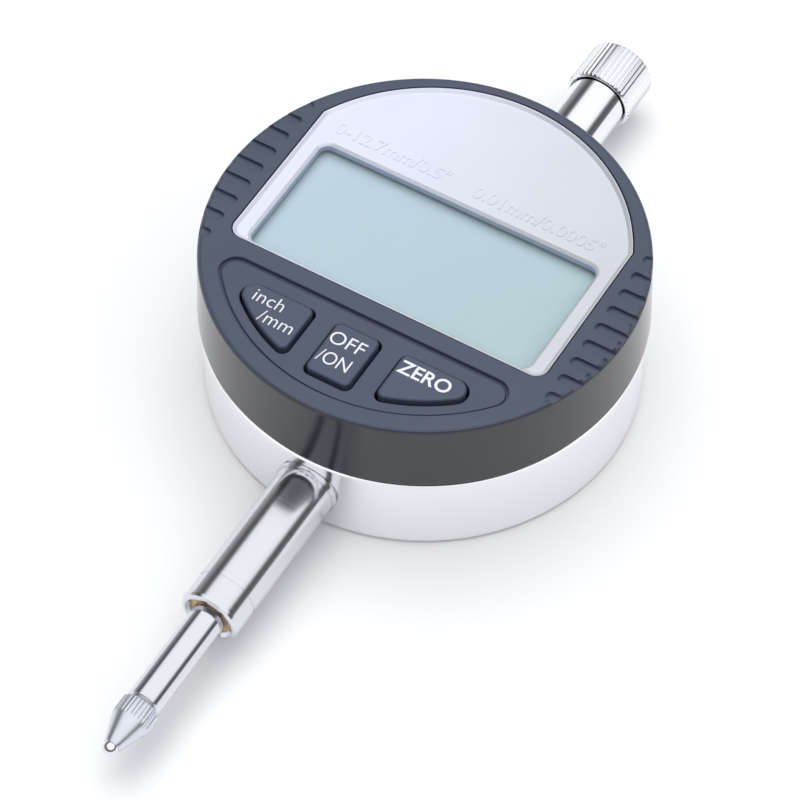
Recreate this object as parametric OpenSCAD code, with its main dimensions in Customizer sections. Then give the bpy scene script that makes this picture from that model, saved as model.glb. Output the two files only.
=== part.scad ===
// Digital dial indicator, 12.7 mm travel, on an 8 mm stem.
// Frame: the instrument lies on its flat back. +Z comes out of the display, the spindle
// runs along Y with the contact tip towards -Y, and +X is to the right of the display.
// The origin is the centre of the round case on the plane of its back. Millimetres.

/* [Case] */
// Radius of the round metal case
case_r = 28.3; // [28:0.1:29]
// Height of the metal case, back to the swivel gap
case_h = 12.4; // [12.2:0.1:12.6]
// How far the rim bead stands proud of the case
bead = 0.3; // [0.1:0.05:0.35]
// Thickness of the back cover
back_t = 1.6; // [1.5:0.1:1.7]
// Radius of the ring of back cover screws
back_screw_ring = 22.9; // [22.6:0.1:23.2]

/* [Stem and spindle] */
// Height of the spindle axis above the back
axis_z = 6.4; // [6.3:0.1:6.5]
// Radius of the clamping stem
stem_r = 4.0; // [3.9:0.05:4.1]
// Distance from the centre to the mouth of the stem
stem_end = 51.0; // [48:0.5:52]
// Radius of the spindle
spindle_r = 2.25; // [2:0.05:2.3]
// Distance from the centre to the spindle's lower shoulder
spindle_end = 65.5; // [65.5:0.5:70]
// Measuring travel of the spindle
travel = 12.7; // [5:0.1:12.7]
// Radial running clearance of the spindle in its bushes
bush_gap = 0.03; // [0.01:0.01:0.08]

/* [Dust cap] */
// Outer radius of the knurled cap
cap_r = 4.7; // [4.6:0.05:5.5]
// Distance from the centre to the cap's lower rim
cap_y0 = 45.5; // [44:0.1:45.8]
// Distance from the centre to the cap's closed end
cap_y1 = 52.6; // [52.5:0.1:54]
// Number of straight knurls on the cap
cap_knurls = 40; // [24:1:48]

/* [Display head] */
// Outer radius of the head at its top face
head_r = 28.3; // [28:0.1:29]
// How much the wall flares out towards the case
head_flare = 0.35; // [0:0.05:0.5]
// Height of the head's top face above the back
head_top = 23.4; // [23.4:0.1:25]
// Air gap between the case and the head
head_gap = 0.35; // [0.2:0.05:0.4]
// Rounding of the head's top edge
head_round = 0.7; // [0.3:0.1:1.2]
// Grip grooves on each side
grip_n = 9; // [5:2:9]
// Distance from one grip groove to the next
grip_pitch = 3.05; // [2.6:0.05:3.1]
// Width of a grip groove
grip_w = 1.45; // [1:0.05:1.8]
// Depth of a grip groove
grip_d = 0.5; // [0.3:0.05:1.1]

/* [Display and keys] */
// Half width of the silver fascia
fascia_hw = 22.6; // [22.2:0.1:22.8]
// Lower edge of the fascia
fascia_y0 = -10.5; // [-10.7:0.1:-10.4]
// Radius of the fascia's arched top
fascia_r = 25.1; // [24.5:0.1:25.2]
// Width of the display window
window_w = 40.0; // [36:0.5:40.5]
// Height of the display window
window_h = 18.3; // [14:0.1:18.5]
// Clearance all round a key
key_gap = 0.3; // [0.2:0.05:0.4]
// Height of the keys above the head's top face
key_rise = 0.35; // [0.1:0.05:0.6]
// Distance a key is pressed
key_travel = 0.4; // [0.3:0.05:0.5]

/* [Hidden] */
$fn = 96;
eps = 0.05;

// Levels inside the case
deck_z = 10.8;
wall_in = 26;
cover_r = 27.0;
board_z = 9.4;
board_t = 0.8;
rail_x = -8.35;
pin_y = -6;
spring_x = 6.6;
spring_y0 = -18.5;
arm_y = 4.2;
carriage_y0 = -20.8;
battery_x = 16;
battery_y = 5.5;
battery_z = 2.4;
board_screws = [[8.2, -14], [18.6, -8], [9, 17.5]];

// Levels inside the head
head_z = case_h + head_gap;
spigot_r = 24.9;
spigot_z = 14.9;
ring_z = 13.9;
plate_z = head_top - 1.8;
fascia_z = head_top - 1.3;
fascia_top = head_top - 0.1;
field_z = fascia_top - 0.4;
fascia_cy = 1.7;
window_y = -0.5;
lens_t = 0.6;
lcd_t = 2.2;
lcd_z = plate_z - lens_t - lcd_t - 0.05;
main_z = 15.6;
main_t = 1.0;
key_y = -15.2;
key_arc = 24.1;
key_x = 6.1;
key_foot = plate_z - 1.3;
posts = [[-13, 16.5], [13, 16.5], [-8.5, -13.1], [8.5, -13.1]];

// A rod along Y on the spindle axis, r0 at y0 and r1 at y1
module rod(y0, y1, r0, r1) {
    translate([0, y0, axis_z]) rotate([-90, 0, 0]) cylinder(h = y1 - y0, r1 = r0, r2 = r1);
}

// A hollow rod along Y
module sleeve(y0, y1, r_out, r_in) {
    difference() {
        rod(y0, y1, r_out, r_out);
        rod(y0 - 1, y1 + 1, r_in, r_in);
    }
}

// A plate from x0, y0 to x1, y1 with round corners
module rounded(x0, y0, x1, y1, r) {
    union() {
        translate([x0 + r, y0]) square([x1 - x0 - 2 * r, y1 - y0]);
        translate([x0, y0 + r]) square([x1 - x0, y1 - y0 - 2 * r]);
        for (x = [x0 + r, x1 - r]) for (y = [y0 + r, y1 - r]) translate([x, y]) circle(r, $fn = 32);
    }
}

// Straight V grooves cut along Y into a rod of radius r
module knurl_cuts(y0, y1, r, n, depth) {
    for (i = [0:n - 1])
        translate([0, y0, axis_z]) rotate([0, i * 360 / n, 0]) translate([r, 0, 0])
            rotate([0, 45, 0]) translate([-depth, 0, -depth]) cube([2 * depth, y1 - y0, 2 * depth]);
}

// A screw along +Z from z: head below, shank above
module screw(x, y, z, head_r1, head_h, shank_r, length) {
    translate([x, y, z]) difference() {
        union() {
            cylinder(r = head_r1, h = head_h, $fn = 48);
            cylinder(r = shank_r, h = length, $fn = 48);
        }
        for (a = [0, 90]) rotate([0, 0, a])
            translate([-head_r1 * 0.6, -0.15, -eps]) cube([head_r1 * 1.2, 0.3, head_h * 0.6]);
    }
}

// Points of an arc about c
function arc(c, r, a0, a1, n) =
    [for (i = [0:n]) let (a = a0 + (a1 - a0) * i / n) [c[0] + r * cos(a), c[1] + r * sin(a)]];

// Centre of a corner of radius q between the level line y and the arc r
function tip_centre(y, r, q) = [sqrt(pow(r - q, 2) - pow(y - q, 2)), y - q];

// Centre of a corner of radius q between the upright line x and the arc r
function heel_centre(x, r, q) = [x + q, -sqrt(pow(r - q, 2) - pow(x + q, 2))];

// Outline of a side key: flat top and inner side, arched outer side; g draws it in all round
function side_key(g) = let (y = key_y - g, r = key_arc - g, x = key_x + g, q = 1.0 - g,
    t = tip_centre(y, r, 1.9 - g), h = heel_centre(x, r, q),
    ta = atan2(t[1], t[0]), ha = atan2(h[1], h[0])) concat(
    arc([x + q, y - q], q, 180, 90, 6),
    arc(t, 1.9 - g, 90, ta, 10),
    arc([0, 0], r, ta, ha, 12),
    arc(h, q, ha, -180, 8));

// Outline of the middle key
module middle_key(g) {
    rounded(-3.35 + g, -23.9 + g, 3.35 - g, key_y - g, 1.0 - g);
}

// Outline of key k: -1 left, 0 middle, 1 right
module key_plan(k, g) {
    if (k == 0) middle_key(g);
    if (k == 1) polygon(side_key(g));
    if (k == -1) mirror([1, 0]) polygon(side_key(g));
}

// Half of the half-moon recess around the keys
function recess_half() = let (y = -12.9, r = 25.8, t = tip_centre(y, r, 2.2), ta = atan2(t[1], t[0])) concat(
    [[0, y]], arc(t, 2.2, 90, ta, 10), arc([0, 0], r, ta, -90, 24));

module recess_plan() {
    polygon(recess_half());
    mirror([1, 0]) polygon(recess_half());
}

// Outline of the fascia, g smaller all round
module fascia_plan(g) {
    intersection() {
        translate([0, fascia_cy]) circle(fascia_r - g, $fn = 160);
        rounded(-fascia_hw + g, fascia_y0 + g, fascia_hw - g, 40, 1.9 - g);
    }
}

// Outline of the window, g larger all round
module window_plan(g) {
    rounded(-window_w / 2 - g, window_y - window_h / 2 - g, window_w / 2 + g,
        window_y + window_h / 2 + g, 1.3 + g);
}

// A wedge of a ring, for bayonet lugs and notches
module ring_wedge(r0, r1, z0, z1, a, half) {
    intersection() {
        translate([0, 0, z0]) difference() {
            cylinder(r = r1, h = z1 - z0);
            translate([0, 0, -1]) cylinder(r = r0, h = z1 - z0 + 2);
        }
        translate([0, 0, z0 - 1]) linear_extrude(z1 - z0 + 2)
            polygon([[0, 0], [20 * cos(a - half), 20 * sin(a - half)], [20 * cos(a + half), 20 * sin(a + half)]]);
    }
}

// A round-wire helix along +Y, made as rings of points joined into one skin
module coil(x, y0, length, z, r, wire, turns) {
    steps = turns * 12;
    ring = [for (i = [0:steps]) for (j = [0:5]) let (a = i * 30, b = j * 60, q = r + wire * cos(b))
        [x + q * cos(a), y0 + wire + (length - 2 * wire) * i / steps + wire * sin(b), z + q * sin(a)]];
    sides = [for (i = [0:steps - 1]) for (j = [0:5])
        [i * 6 + j, i * 6 + (j + 1) % 6, (i + 1) * 6 + (j + 1) % 6, (i + 1) * 6 + j]];
    polyhedron(ring, concat([[5, 4, 3, 2, 1, 0]], sides, [[for (j = [0:5]) steps * 6 + j]]));
}

// ---- Case ----

module rear_case() {
    color([0.86, 0.87, 0.89]) difference() {
        union() {
            rotate_extrude($fn = 160) polygon([[cover_r + 0.05, 0], [case_r - 0.5, 0], [case_r - 0.15, 0.15],
                [case_r, 0.5], [case_r, case_h - 1.05], [case_r + bead - 0.1, case_h - 0.95],
                [case_r + bead, case_h - 0.8], [case_r + bead, case_h - 0.3], [case_r + bead - 0.1, case_h - 0.1],
                [case_r + bead - 0.3, case_h], [spigot_r, case_h],
                [spigot_r, spigot_z], [spigot_r - 1.7, spigot_z], [spigot_r - 1.7, case_h], [0, case_h],
                [0, deck_z], [wall_in, deck_z], [wall_in, 1.9], [cover_r + 0.05, 1.9]]);
            for (s = [-1, 1]) translate([-6, s > 0 ? 22.5 : -27, 1.95]) cube([12, 4.5, deck_z - 1.9]);
            for (a = [45:90:315]) rotate([0, 0, a]) translate([back_screw_ring, 0, 1.95])
                cylinder(r = 2.6, h = deck_z - 1.9);
            for (p = board_screws) translate([p[0], p[1], board_z + board_t]) cylinder(r = 1.6, h = 1);
        }
        rod(-40, -26.4, stem_r + 0.01, stem_r + 0.01);
        rod(26.4, 40, stem_r + 0.01, stem_r + 0.01);
        rod(-30, -20, 2.9, 2.9);
        rod(20, 30, 2.9, 2.9);
        for (a = [45:90:315]) rotate([0, 0, a]) translate([back_screw_ring, 0, 1]) cylinder(r = 1, h = 6.5);
        for (p = board_screws) translate([p[0], p[1], 9]) cylinder(r = 0.8, h = 2.9);
        for (y = [-10.2, 11.2]) translate([rail_x, y, 9]) cylinder(r = 0.8, h = 2.9);
        translate([10, -2, 9]) cube([2, 4, 6]);
        rotate_extrude() translate([spigot_r, ring_z]) circle(0.45, $fn = 24);
    }
}

module back_cover() {
    color([0.8, 0.81, 0.83]) difference() {
        cylinder(r = cover_r, h = back_t);
        translate([battery_x, battery_y, -1]) cylinder(r = 7.45, h = 1.9);
        translate([battery_x, battery_y, -1]) cylinder(r = 6.25, h = 4);
        translate([battery_x, battery_y, 0]) for (a = [-60, 120]) ring_wedge(6.1, 7.1, 0.5, 3, a, 18);
        for (a = [45:90:315]) rotate([0, 0, a]) translate([back_screw_ring, 0, -eps]) {
            cylinder(r = 1.05, h = 3);
            cylinder(r1 = 2.0, r2 = 1.05, h = 1.0);
        }
    }
}

module back_cover_screws() {
    color([0.6, 0.61, 0.63]) for (a = [45:90:315]) rotate([0, 0, a]) translate([back_screw_ring, 0, 0.05])
        difference() {
            union() {
                cylinder(r1 = 1.85, r2 = 0.95, h = 0.9);
                cylinder(r = 0.95, h = 5.5);
            }
            for (b = [0, 90]) rotate([0, 0, b]) translate([-1, -0.2, -eps]) cube([2, 0.4, 0.5]);
        }
}

module case_gasket() {
    color([0.12, 0.12, 0.13]) translate([0, 0, back_t]) difference() {
        cylinder(r = cover_r - 0.05, h = 1.9 - back_t);
        translate([0, 0, -1]) cylinder(r = wall_in + 0.1, h = 3);
    }
}

module stem() {
    color([0.75, 0.76, 0.78]) difference() {
        union() {
            rod(-stem_end + 0.6, -26.4, stem_r, stem_r);
            rod(-stem_end + 0.2, -stem_end + 0.6, stem_r - 0.15, stem_r);
            rod(-stem_end, -stem_end + 0.2, stem_r - 0.5, stem_r - 0.15);
            rod(-28.9, -28.35, stem_r + 0.2, stem_r + 0.2);
        }
        rod(-60, -20, 2.6, 2.6);
        rod(-60, -42, 2.9, 2.9);
        rod(-stem_end - 0.1, -stem_end + 0.4, 3.4, 2.9);
        difference() {
            rod(-47.1, -46.95, 5, 5);
            rod(-48, -46, stem_r - 0.06, stem_r - 0.06);
        }
    }
}

module stem_bush() {
    color([0.76, 0.6, 0.38]) difference() {
        rod(-stem_end + 0.7, -42.2, 2.9, 2.9);
        rod(-60, -40, spindle_r + bush_gap, spindle_r + bush_gap);
    }
}

module top_barrel() {
    color([0.75, 0.76, 0.78]) difference() {
        union() {
            rod(26.4, 46.4, stem_r, stem_r);
            rod(46.4, 50.2, 3.5, 3.5);
            rod(50.2, 50.6, 3.5, 3.1);
            rod(28.35, 28.9, stem_r + 0.2, stem_r + 0.2);
        }
        rod(20, 60, 2.6, 2.6);
        rod(20, 34, 2.9, 2.9);
    }
}

module barrel_bush() {
    color([0.76, 0.6, 0.38]) sleeve(26.6, 33.9, 2.9, spindle_r + bush_gap);
}

module spindle_bumper() {
    color([0.1, 0.1, 0.11]) sleeve(-22.5, -21.1, 4.3, 2.75);
}

module guide_rail() {
    color([0.74, 0.6, 0.34]) difference() {
        translate([-10.4, -12.6, 5]) cube([4.1, 26.2, deck_z - 5]);
        translate([-9.3, pin_y - 1.1, 5.57]) cube([5, travel + 2.2, 1.66]);
        for (y = [-10.2, 11.2]) translate([rail_x, y, 4]) cylinder(r = 0.85, h = 9);
    }
}

module guide_rail_screws() {
    color([0.5, 0.51, 0.53]) for (y = [-10.2, 11.2]) screw(rail_x, y, 4.1, 1.4, 0.9, 0.75, 7.5);
}

module sensor_board() {
    color([0.1, 0.34, 0.2]) difference() {
        translate([0, 0, board_z]) linear_extrude(board_t) intersection() {
            circle(24.8);
            translate([-5.2, -17]) square([28, 39]);
        }
        for (a = [-45, 45]) rotate([0, 0, a]) translate([back_screw_ring, 0, 8]) cylinder(r = 2.9, h = 3);
        for (p = board_screws) translate([p[0], p[1], 8]) cylinder(r = 0.85, h = 3);
        translate([10.2, -1.8, 8]) cube([1.6, 3.6, 3]);
    }
}

module sensor_board_screws() {
    color([0.5, 0.51, 0.53]) for (p = board_screws) screw(p[0], p[1], board_z - 0.9, 1.4, 0.9, 0.75, 3.2);
}

module sensor_chip() {
    color([0.07, 0.07, 0.08]) translate([10.3, -9.6, board_z - 1.1]) cube([6, 6, 1.1]);
}

// ---- Battery ----

module battery_holder() {
    color([0.15, 0.15, 0.16]) translate([battery_x, battery_y, 0]) difference() {
        translate([0, 0, 2.6]) cylinder(r = 6.9, h = board_z - 2.6);
        translate([0, 0, 2]) cylinder(r = 5.95, h = 6.7);
        translate([5.6, -1.8, 2]) cube([3, 3.6, 9]);
        translate([-3, -1.5, 8]) cube([6, 3, 3]);
    }
}

module battery() {
    color([0.82, 0.82, 0.8]) translate([battery_x, battery_y, battery_z]) {
        cylinder(r = 5.8, h = 4.9);
        translate([0, 0, 4.9]) cylinder(r = 4.9, h = 0.5);
    }
}

module battery_contact_plus() {
    color([0.8, 0.7, 0.45]) translate([battery_x + 5.83, battery_y - 1.5, 3.2]) cube([0.25, 3, board_z - 3.2]);
}

module battery_contact_minus() {
    color([0.8, 0.7, 0.45]) translate([battery_x, battery_y, 0]) {
        translate([-2.8, -1.3, board_z - 0.3]) cube([5.6, 2.6, 0.3]);
        translate([0, 0, battery_z + 5.43]) cylinder(r = 1.1, h = board_z - 0.3 - battery_z - 5.43);
    }
}

module battery_cover() {
    color([0.7, 0.71, 0.73]) translate([battery_x, battery_y, 0]) difference() {
        union() {
            translate([0, 0, 0.15]) cylinder(r = 7.4, h = 0.7);
            translate([0, 0, 0.8]) cylinder(r = 6.2, h = 1.3);
            for (a = [0, 180]) ring_wedge(6, 7.0, 1.65, 2.1, a, 14);
        }
        translate([-5, -0.75, -1]) cube([10, 1.5, 1.75]);
    }
}

// ---- Spindle group ----

module spring_post() {
    color([0.6, 0.61, 0.63]) translate([spring_x, spring_y0 - 1, 4.6]) cylinder(r = 0.98, h = deck_z - 4.6);
}

module spindle() {
    color([0.78, 0.79, 0.81]) difference() {
        union() {
            rod(-spindle_end + 0.3, 37.7, spindle_r, spindle_r);
            rod(-spindle_end, -spindle_end + 0.3, spindle_r - 0.3, spindle_r);
            rod(37.7, 38, spindle_r, spindle_r - 0.3);
        }
        rod(-spindle_end - 1, -spindle_end + 6, 1.27, 1.27);
        rod(32, 39, 1.05, 1.05);
    }
}

module contact_point() {
    color([0.72, 0.73, 0.75]) difference() {
        union() {
            rod(-spindle_end - 0.02, -spindle_end + 5.2, 1.23, 1.23);
            rod(-spindle_end - 0.4, -spindle_end, 2.5, 2.2);
            rod(-spindle_end - 2.5, -spindle_end - 0.4, 2.5, 2.5);
            rod(-spindle_end - 2.8, -spindle_end - 2.5, 2.25, 2.5);
            rod(-spindle_end - 6.5, -spindle_end - 2.8, 1.1, 2.25);
        }
        knurl_cuts(-spindle_end - 2.9, -spindle_end + 0.1, 2.55, 22, 0.2);
        translate([0, -spindle_end - 6.7, axis_z]) sphere(1.01, $fn = 48);
    }
}

module contact_ball() {
    color([0.9, 0.9, 0.92]) translate([0, -spindle_end - 6.7, axis_z]) sphere(1, $fn = 48);
}

module spindle_carriage() {
    color([0.72, 0.72, 0.7]) difference() {
        union() {
            translate([-4.6, carriage_y0, 3.4]) cube([9.2, 28, 5.5]);
            translate([4, arm_y, 5.4]) cube([4.2, 3, 2]);
        }
        rod(-30, 20, spindle_r + 0.02, spindle_r + 0.02);
        translate([0, 0, 2]) cylinder(r = 1, h = 4);
        translate([-6, pin_y, axis_z]) rotate([0, 90, 0]) cylinder(r = 0.81, h = 3.6);
    }
}

module carriage_set_screw() {
    color([0.3, 0.3, 0.32]) difference() {
        translate([0, 0, 2.9]) cylinder(r = 0.97, h = 1.2);
        translate([0, 0, 2.8]) cylinder(r = 0.5, h = 0.6, $fn = 6);
    }
}

module scale_strip() {
    color([0.85, 0.65, 0.3]) translate([-3.9, carriage_y0 + 0.5, 8.9]) cube([7.8, 27, 0.25]);
}

module guide_pin() {
    color([0.8, 0.8, 0.82]) translate([-8.9, pin_y, axis_z]) rotate([0, 90, 0]) cylinder(r = 0.8, h = 6.4);
}

module return_spring() {
    color([0.65, 0.66, 0.68])
        coil(spring_x, spring_y0 + 0.05, arm_y - spring_y0 - 0.1, axis_z, 1.2, 0.2, 14);
}

// ---- Display head ----

module swivel_ring() {
    color([0.7, 0.71, 0.73]) rotate_extrude() translate([spigot_r - 0.05, ring_z]) circle(0.3, $fn = 24);
}

module display_housing() {
    color([0.27, 0.29, 0.34]) difference() {
        union() {
            rotate_extrude($fn = 160) polygon(concat(
                [[0, plate_z], [wall_in, plate_z], [wall_in, 15.3], [spigot_r + 0.08, 15.3],
                 [spigot_r + 0.08, head_z], [head_r + head_flare - 0.3, head_z], [head_r + head_flare, head_z + 0.3]],
                arc([head_r - head_round, head_top - head_round], head_round, 0, 90, 8),
                [[0, head_top]]));
            for (p = posts) translate([p[0], p[1], main_z + main_t]) cylinder(r = 1.35, h = plate_z - main_z - 0.9);
        }
        translate([0, 0, fascia_z]) linear_extrude(5) fascia_plan(0);
        translate([0, 0, plate_z - 1]) linear_extrude(5) window_plan(0.65);
        translate([0, 0, head_top - 0.4]) linear_extrude(5) recess_plan();
        for (k = [-1, 0, 1]) translate([0, 0, plate_z - 1]) linear_extrude(5) key_plan(k, 0);
        for (i = [0:grip_n - 1]) translate([0, 0.3 + (i - (grip_n - 1) / 2) * grip_pitch, head_top - grip_d])
            for (s = [0, 1]) mirror([s, 0, 0]) {
                translate([24.0 + grip_w / 2, 0, 0]) cylinder(r = grip_w / 2, h = 5, $fn = 32);
                translate([24.0 + grip_w / 2, -grip_w / 2, 0]) cube([8, grip_w, 5]);
            }
        for (p = posts) translate([p[0], p[1], 14]) cylinder(r = 0.8, h = 5.6);
        rotate_extrude() translate([spigot_r, ring_z]) circle(0.45, $fn = 24);
    }
}

module fascia() {
    color([0.85, 0.86, 0.9]) difference() {
        union() {
            translate([0, 0, plate_z + 0.05]) linear_extrude(1) window_plan(0.55);
            translate([0, 0, fascia_z]) linear_extrude(fascia_top - fascia_z) fascia_plan(0.15);
        }
        translate([0, 0, field_z]) linear_extrude(5) fascia_plan(0.5);
        translate([0, 0, plate_z - 1]) linear_extrude(5) window_plan(0);
        hull() {
            translate([0, 0, field_z - 0.4]) linear_extrude(0.01) window_plan(0);
            translate([0, 0, field_z + 0.05]) linear_extrude(0.01) window_plan(0.45);
        }
    }
}

module window_lens() {
    color([0.8, 0.9, 0.95, 0.4]) translate([0, 0, plate_z - lens_t]) linear_extrude(lens_t)
        rounded(-21.4, -10.6, 21.4, 10, 0.8);
}

module lcd_panel() {
    color([0.7, 0.82, 0.84]) translate([0, 0, lcd_z]) linear_extrude(lcd_t) rounded(-21.2, -10.4, 21.2, 9.8, 0.3);
}

module lcd_frame() {
    color([0.85, 0.85, 0.83]) difference() {
        translate([-22.6, -11.6, main_z + main_t]) cube([45.2, 22.6, lcd_z + lcd_t - main_z - main_t]);
        translate([-21.3, -10.5, lcd_z]) cube([42.6, 20.4, 5]);
        translate([-20, -9.2, main_z]) cube([40, 17.8, 8]);
    }
}

module zebra_strip() {
    color([0.75, 0.4, 0.45]) translate([-19, 6.7, main_z + main_t]) cube([38, 1.8, lcd_z - main_z - main_t]);
}

module display_board() {
    color([0.1, 0.34, 0.2]) difference() {
        translate([0, 0, main_z]) cylinder(r = 24.4, h = main_t);
        for (p = posts) translate([p[0], p[1], 15]) cylinder(r = 0.85, h = 3);
    }
}

module display_board_screws() {
    color([0.5, 0.51, 0.53]) for (p = posts) screw(p[0], p[1], main_z - 0.8, 1.4, 0.8, 0.75, 4.4);
}

module display_chip() {
    color([0.07, 0.07, 0.08]) translate([0, -1, main_z - 1.1]) cylinder(r1 = 3.4, r2 = 4.2, h = 1.1);
}

// The flat cable winds up and down in the gap under the display board as the head turns
module ribbon_cable() {
    spiral = [for (i = [0:60]) let (a = i * 7.5, r = 11 - 4 * i / 60) [r * cos(a), r * sin(a)]];
    inner = [for (i = [60:-1:0]) let (a = i * 7.5, r = 10.88 - 4 * i / 60) [r * cos(a), r * sin(a)]];
    color([0.75, 0.45, 0.2]) {
        translate([0, 0, 12.7]) linear_extrude(1.6) polygon(concat(spiral, inner));
        translate([10.88, -0.8, board_z + board_t]) cube([0.12, 1.6, 12.75 - board_z - board_t]);
        translate([-0.8, 6.88, 14.25]) cube([1.6, 0.12, main_z - 14.3]);
    }
}

// ---- Keys ----

// A key cap with its edge eased in two steps, its retaining foot and its plunger
module key_cap(k) {
    top = head_top + key_rise;
    px = k * 10.4;
    py = k == 0 ? -19.4 : -17.7;
    translate([0, 0, key_foot + 0.5]) linear_extrude(top - key_foot - 0.8) key_plan(k, key_gap);
    translate([0, 0, top - 0.35]) linear_extrude(0.2) key_plan(k, key_gap + 0.12);
    translate([0, 0, top - 0.2]) linear_extrude(0.2) key_plan(k, key_gap + 0.34);
    translate([0, 0, key_foot]) linear_extrude(1) key_plan(k, -0.6);
    translate([px, py, key_foot - 1.9]) cylinder(r = 1.2, h = 2);
}

// The rubber dome that carries a key
module key_dome(k) {
    px = k * 10.4;
    py = k == 0 ? -19.4 : -17.7;
    z0 = main_z + main_t;
    z1 = key_foot - 1.9;
    translate([px, py, z0]) difference() {
        union() {
            cylinder(r = 2.3, h = 0.4);
            cylinder(r1 = 2.1, r2 = 1.4, h = z1 - z0);
        }
        translate([0, 0, -1]) cylinder(r = 1.1, h = z1 - z0 + 0.5);
    }
}

module key_inch_mm() {
    color([0.2, 0.21, 0.24]) key_cap(-1);
}

module key_on_off() {
    color([0.2, 0.21, 0.24]) key_cap(0);
}

module key_zero() {
    color([0.2, 0.21, 0.24]) key_cap(1);
}

module dome_inch_mm() {
    color([0.6, 0.6, 0.58]) key_dome(-1);
}

module dome_on_off() {
    color([0.6, 0.6, 0.58]) key_dome(0);
}

module dome_zero() {
    color([0.6, 0.6, 0.58]) key_dome(1);
}

// ---- Dust cap ----

module dust_cap() {
    color([0.82, 0.83, 0.85]) difference() {
        union() {
            rod(cap_y0, cap_y0 + 0.4, cap_r - 0.3, cap_r);
            rod(cap_y0 + 0.4, cap_y1 - 0.4, cap_r, cap_r);
            rod(cap_y1 - 0.4, cap_y1, cap_r, cap_r - 0.4);
        }
        rod(cap_y0 - 1, cap_y1 - 1.4, 3.54, 3.54);
        rod(cap_y0 - 1, 46.75, 4.25, 4.25);
        knurl_cuts(cap_y0 - 0.1, cap_y1 + 0.1, cap_r + 0.05, cap_knurls, 0.25);
    }
}

rear_case();
back_cover();
back_cover_screws();
case_gasket();
stem();
stem_bush();
top_barrel();
barrel_bush();
spindle_bumper();
guide_rail();
guide_rail_screws();
sensor_board();
sensor_board_screws();
sensor_chip();
battery_holder();
battery();
battery_contact_plus();
battery_contact_minus();
spring_post();
swivel_ring();
battery_cover();
spindle();
contact_point();
contact_ball();
spindle_carriage();
carriage_set_screw();
scale_strip();
guide_pin();
return_spring();
display_housing();
fascia();
window_lens();
lcd_panel();
lcd_frame();
zebra_strip();
display_board();
display_board_screws();
display_chip();
ribbon_cable();
key_inch_mm();
key_on_off();
key_zero();
dome_inch_mm();
dome_on_off();
dome_zero();
dust_cap();
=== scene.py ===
# %% [markdown]
# # A digital dial indicator
# This lesson dresses a finished set of machine parts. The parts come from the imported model,
# each in its own place, so nothing here has to be fitted. We give each of them a finish, swap a
# few for smoother ones, print the markings, and set up a small studio to look at the result.

# %% Load the parts
import math

import bmesh
import bpy
from mathutils import Matrix, Vector


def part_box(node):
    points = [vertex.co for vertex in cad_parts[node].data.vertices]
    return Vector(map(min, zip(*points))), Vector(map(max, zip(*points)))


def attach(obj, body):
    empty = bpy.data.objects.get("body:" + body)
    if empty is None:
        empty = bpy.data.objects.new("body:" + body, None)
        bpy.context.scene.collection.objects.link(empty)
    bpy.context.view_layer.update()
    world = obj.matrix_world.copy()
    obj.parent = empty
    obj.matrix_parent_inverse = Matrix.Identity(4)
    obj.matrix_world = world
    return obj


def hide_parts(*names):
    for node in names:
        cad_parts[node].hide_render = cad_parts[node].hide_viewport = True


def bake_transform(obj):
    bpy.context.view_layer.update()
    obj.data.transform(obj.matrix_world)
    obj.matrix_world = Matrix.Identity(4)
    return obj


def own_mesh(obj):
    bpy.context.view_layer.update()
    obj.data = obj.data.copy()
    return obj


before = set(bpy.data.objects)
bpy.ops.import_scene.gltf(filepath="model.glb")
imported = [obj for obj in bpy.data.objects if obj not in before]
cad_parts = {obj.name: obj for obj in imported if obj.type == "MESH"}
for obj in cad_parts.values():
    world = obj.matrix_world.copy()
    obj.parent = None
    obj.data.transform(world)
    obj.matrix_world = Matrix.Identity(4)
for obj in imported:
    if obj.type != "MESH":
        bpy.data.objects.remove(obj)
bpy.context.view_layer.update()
MM = 0.001
HEAD_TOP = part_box("display_housing")[1][2]
AXIS_Z = (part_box("spindle")[0][2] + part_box("spindle")[1][2]) / 2
print("head top at %.2f mm, spindle axis at %.2f mm" % (HEAD_TOP / MM, AXIS_Z / MM))


# %% [markdown]
# ## A small kit for finishes
# A finish is a shader with a few nodes in front of it. We could click each one together in the
# editor, but twenty finishes would take all day, so a few helpers add the nodes and join them up.
# Every pattern reads Object coordinates: all parts have their origin at the world's, so a pattern
# made of them is fixed to the metal and turns with it.

# %% Helpers that build a finish
def new_finish(name, base, rough=0.5, metallic=0.0, **more):
    """A material with one Principled shader; constants go straight on its sockets."""
    mat = bpy.data.materials.new(name)
    mat.use_nodes = True
    tree = mat.node_tree
    shader = tree.nodes["Principled BSDF"]
    shader.inputs["Base Color"].default_value = (*base, 1)
    shader.inputs["Roughness"].default_value = rough
    shader.inputs["Metallic"].default_value = metallic
    for key, value in more.items():
        shader.inputs[key.replace("_", " ")].default_value = value
    return mat, tree, shader


def add(tree, kind, **settings):
    """Adds a node; a setting is either a property of the node or one of its inputs."""
    node = tree.nodes.new(kind)
    for key, value in settings.items():
        if hasattr(node, key):
            setattr(node, key, value)
        else:
            node.inputs[key.replace("_", " ")].default_value = value
    return node


def place_of(tree, scale=(1, 1, 1), move=(0, 0, 0)):
    """Object coordinates in metres, stretched by scale and then moved."""
    where = add(tree, "ShaderNodeTexCoord")
    mapping = add(tree, "ShaderNodeMapping", Scale=scale, Location=move)
    tree.links.new(where.outputs["Object"], mapping.inputs["Vector"])
    return mapping.outputs["Vector"]


def grain(tree, where, scale, detail=4.0, rough=0.55):
    """A noise over the part, from 0 to 1; the scale is in bumps per metre."""
    noise = add(tree, "ShaderNodeTexNoise", Scale=scale, Detail=detail, Roughness=rough)
    tree.links.new(where, noise.inputs["Vector"])
    return noise.outputs["Fac"]


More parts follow.
